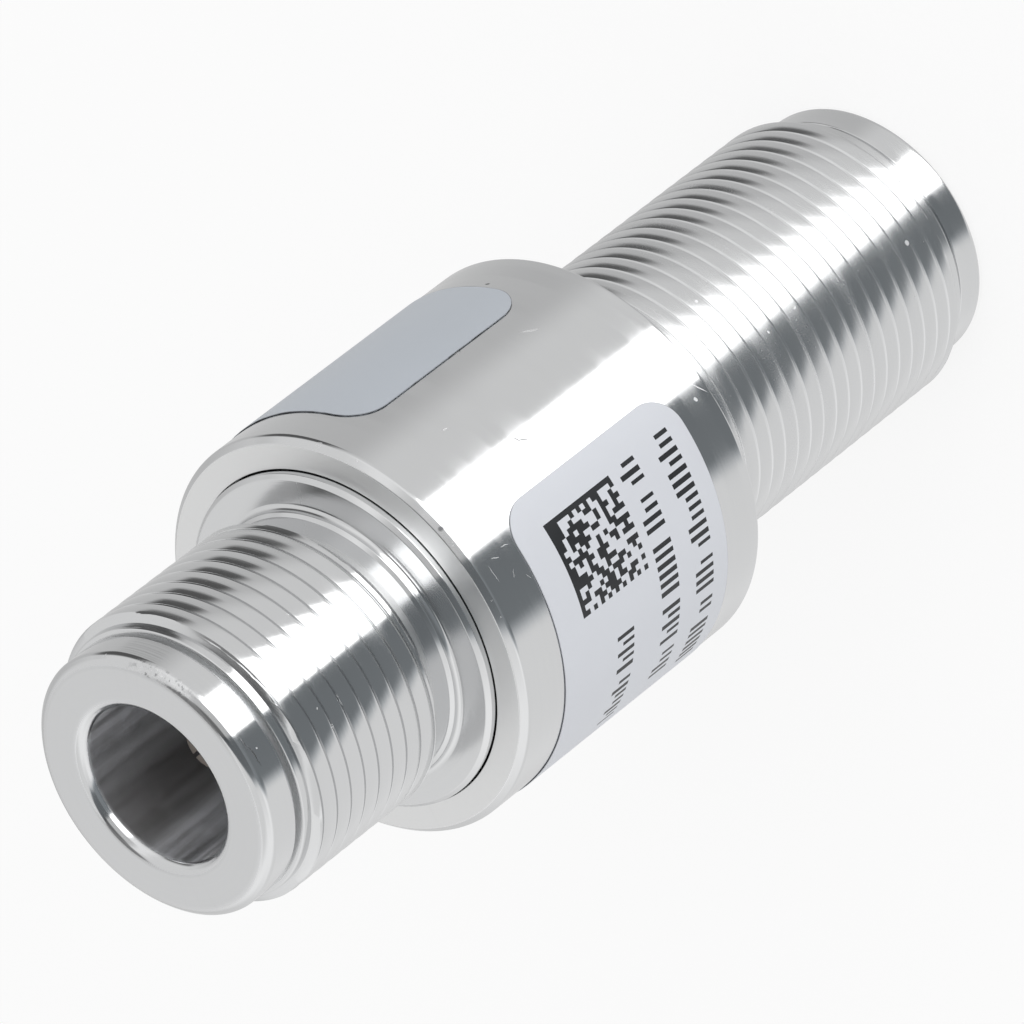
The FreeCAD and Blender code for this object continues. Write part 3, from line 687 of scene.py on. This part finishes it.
def wrap_film(name, base, middle, finish):
    """A label on the body, from its base height and its middle turn."""
    film = grow(name, wrapped, {
        "Columns": 96, "Rows": 64, "Length": FILM_LENGTH * MM, "Height": FILM_HEIGHT * MM,
        "Corner": FILM_CORNER * MM, "Radius": FILM_RADIUS * MM,
        "Thickness": FILM_THICKNESS * MM, "Base": base * MM,
        "Middle": math.radians(middle), "Finish": finish})
    return piece(name, [film], finish)


data_film = wrap_film("data_film", DATA_BASE, DATA_MIDDLE, white_film)
upper_film = wrap_film("upper_film", UPPER_BASE, UPPER_MIDDLE, grey_film)

for item, node, slot in ((body, "body", "plated_brass"), (port, "near_port", "plated_brass"),
                         (data_film, "data_label", "data_film"),
                         (upper_film, "upper_label", "grey_film")):
    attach(item, "root")
    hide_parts(node)

for finish, names in (
        (bright_plate, ["near_sleeve", "far_sleeve", "tube_plug"]),
        (contact_gold, ["near_contact", "far_contact", "centre_rod"]),
        (bead_resin, ["near_bead", "far_bead", "tube_collar"]),
        (seal_rubber, ["near_bead_seal", "far_bead_seal", "port_seal", "plug_seal"]),
        (electrode_plate, ["tube_inner_cap", "tube_outer_cap"]),
        (fired_ceramic, ["tube_ceramic"]), (spring_steel, ["tube_spring"])):
    for name in names:
        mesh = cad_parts[name].data
        mesh.materials.clear()
        mesh.materials.append(finish)


# Studio and camera.

ROOM_LIGHT = 0.77                # what the room gives every plain surface, beside the key light
STRIP_LIGHT = 3.0                # the bright strip, where a pale wall is about 1
SENSOR_WIDTH, FOCAL_LENGTH = 36.0, 377.97


def studio_world():
    """White cards all round for the metal: one bright strip, one dark card beside it."""
    world = bpy.data.worlds.new("studio")
    world.use_nodes = True
    bpy.context.scene.world = world
    graph = Graph(world.node_tree)
    background = world.node_tree.nodes["Background"].inputs
    x, y, z = graph.parts(graph.add("ShaderNodeTexCoord"))
    side = (x * -1.0).math("ARCTAN2", y * -1.0) * math.degrees(1.0)
    rise = z.math("ARCSINE") * math.degrees(1.0)
    # The walls, paler towards one side and higher up.
    pale = graph.step(side, -80.0, -58.0, 0.66, 0.85) + graph.step(side, 6.0, 56.0, 0.0, 0.08)
    pale = pale - graph.step(side, 130.0, 170.0, 0.0, 0.2) + graph.step(rise, -5.0, 25.0, 0.0, 0.24)
    # The bright strip along the metal, and the dark card beside it.
    strip = graph.band(side, -30.0, 6.0, 0.8) * graph.step(rise, 40.0, 52.0, 1.0, 0.0)
    card = graph.step(side, 5.2, 6.8) * graph.step(side, 44.0, 58.0, 1.0, 0.0)
    # Dimmer patches: a low corner, the ceiling, the eaves beside it and what is overhead.
    corner = graph.band(side, -117.0, -78.0, 6.0) * graph.step(rise, 6.0, 22.0, 1.0, 0.0)
    corner = corner * graph.step(rise, -37.6, -33.0)
    ceiling = graph.band(side, -50.0, 50.0, 8.0) * graph.step(rise, 42.0, 52.0)
    eaves = graph.band(side, 50.0, 135.0, 8.0) * graph.step(rise, 30.0, 50.0)
    overhead = graph.step(side, 6.0, 18.0, 1.0, 0.0) * graph.step(rise, 60.0, 67.0)
    level = pale * (1.0 - strip) + strip * STRIP_LIGHT
    level = level * (1.0 - card * 0.73) * (1.0 - corner * 0.82)
    level = level * (1.0 - ceiling * 0.4) * (1.0 - eaves * 0.22) * (1.0 - overhead * 0.7)
    # Only a reflection sees the studio: a plain surface gets the room, and the camera white.
    glossy = graph.add("ShaderNodeLightPath", out=3)
    level = level * glossy + (1.0 - glossy) * ROOM_LIGHT
    seen = graph.add("ShaderNodeLightPath")
    feed(graph, background["Strength"], level * (1.0 - seen) + seen)
    cool = card * (1.0 - strip) * glossy * (1.0 - seen)
    feed(graph, background["Color"], graph.mix(cool, [1.0] * 4, [0.88, 0.95, 1.0, 1.0]))


def pale_floor():
    """Pale paper under the part, seen as white, that mirrors nothing into the metal."""
    mesh = bpy.data.meshes.new("floor")
    reach = 1.5
    mesh.from_pydata([(-reach, -reach, 0.0), (reach, -reach, 0.0), (reach, reach, 0.0),
                      (-reach, reach, 0.0)], [], [(0, 1, 2, 3)])
    finish, graph, sockets = material("floor_paper")
    sockets["Base Color"].default_value = (0.92, 0.92, 0.92, 1.0)
    sockets["Roughness"].default_value = 0.9
    glow = graph.add("ShaderNodeEmission", None, {"Strength": 1.0})
    seen = graph.add("ShaderNodeLightPath")
    paper = Value(graph, graph.tree.nodes["Principled BSDF"].outputs[0])
    both = graph.add("ShaderNodeMixShader", None, [seen * 0.8, paper, glow])
    feed(graph, graph.tree.nodes["Material Output"].inputs["Surface"], both)
    mesh.materials.append(finish)
    floor = bpy.data.objects.new("floor", mesh)
    bpy.context.scene.collection.objects.link(floor)
    floor.location.z = -0.0001
    floor.visible_glossy = False


def softbox(name, place, size, watts):
    """A square soft lamp, turned to the part's middle."""
    lamp = bpy.data.lights.new(name, "AREA")
    lamp.size, lamp.energy = size, watts
    item = bpy.data.objects.new(name, lamp)
    bpy.context.scene.collection.objects.link(item)
    item.location = place
    item.rotation_euler = (Vector((0, 0, 0.03)) - Vector(place)).to_track_quat("-Z", "Y").to_euler()
    item.visible_glossy = False


def photo_camera():
    """The photo's own camera, solved from the ellipses of the part in it."""
    lens = bpy.data.cameras.new("camera")
    lens.sensor_width, lens.lens = SENSOR_WIDTH, FOCAL_LENGTH
    lens.clip_start, lens.clip_end = 0.05, 20.0
    item = bpy.data.objects.new("camera", lens)
    bpy.context.scene.collection.objects.link(item)
    right, up, back = ((-0.61358, 0.78963, 0.00023), (-0.49514, -0.38452, -0.77909),
                       (-0.61511, -0.47815, 0.62691))
    item.matrix_world = Matrix((
        (right[0], right[1], right[2], 0.0), (up[0], up[1], up[2], -0.4115),
        (back[0], back[1], back[2], 0.36085), (0.0, 0.0, 0.0, 1.0)))
    bpy.context.scene.camera = item


studio_world()
pale_floor()
softbox("key", (0.1, -0.4, 0.45), 0.35, 0.9)
photo_camera()

scene = bpy.context.scene
scene.view_settings.view_transform = "Standard"
